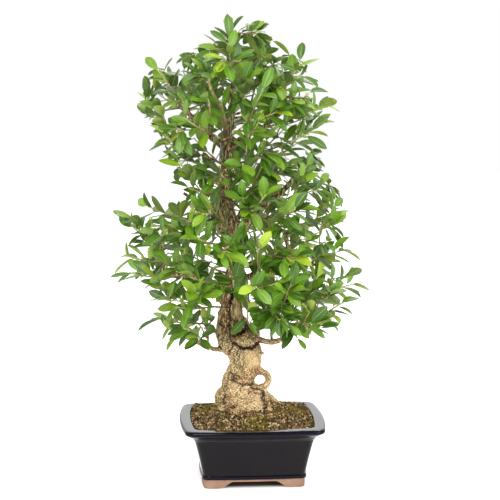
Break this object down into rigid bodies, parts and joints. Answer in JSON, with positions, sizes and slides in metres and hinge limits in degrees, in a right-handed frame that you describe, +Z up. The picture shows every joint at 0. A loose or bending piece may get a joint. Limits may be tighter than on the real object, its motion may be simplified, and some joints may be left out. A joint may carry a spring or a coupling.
{
  "type": "ficus bonsai",
  "caption": "Ficus bonsai with a gnarled trunk, a looped root and an irregular crown of oval leaves, planted in a dark glazed rectangular pot on bracket feet.",
  "frame": {"origin": "middle of the whole outline seen from above, at the level of the pot's feet", "axes": "+Z up along the trunk, front towards -Y, the pot's long side along X"},
  "size_m": [0.5232, 0.4538, 0.9602],
  "materials": {
    "pot_glaze": "gloss",
    "screen_plastic": "matte",
    "bark_soil": "matte",
    "bark": "matte",
    "foliage": "satin"
  },
  "bodies": {
    "root": {"pot": "pot_glaze", "drain_screen_left": "screen_plastic", "drain_screen_right": "screen_plastic", "soil": "bark_soil", "trunk": "bark", "spray_01": "foliage", "spray_02": "foliage", "spray_03": "foliage", "spray_04": "foliage", "spray_05": "foliage", "spray_06": "foliage", "spray_07": "foliage", "spray_08": "foliage", "spray_09": "foliage", "spray_10": "foliage", "spray_11": "foliage", "spray_12": "foliage", "spray_13": "foliage", "spray_14": "foliage", "spray_15": "foliage", "spray_16": "foliage", "spray_17": "foliage", "spray_18": "foliage", "spray_19": "foliage", "spray_20": "foliage", "spray_21": "foliage", "spray_22": "foliage", "spray_23": "foliage", "spray_24": "foliage", "spray_25": "foliage", "spray_26": "foliage", "spray_27": "foliage", "spray_28": "foliage", "spray_29": "foliage", "spray_30": "foliage", "spray_31": "foliage", "spray_32": "foliage", "spray_33": "foliage", "spray_34": "foliage", "spray_35": "foliage", "spray_36": "foliage", "spray_37": "foliage", "spray_38": "foliage", "spray_39": "foliage", "spray_40": "foliage", "spray_41": "foliage", "spray_42": "foliage", "spray_43": "foliage", "spray_44": "foliage", "spray_45": "foliage", "spray_46": "foliage", "spray_47": "foliage", "spray_48": "foliage", "spray_49": "foliage", "spray_50": "foliage", "spray_51": "foliage"}
  },
  "joints": []
}
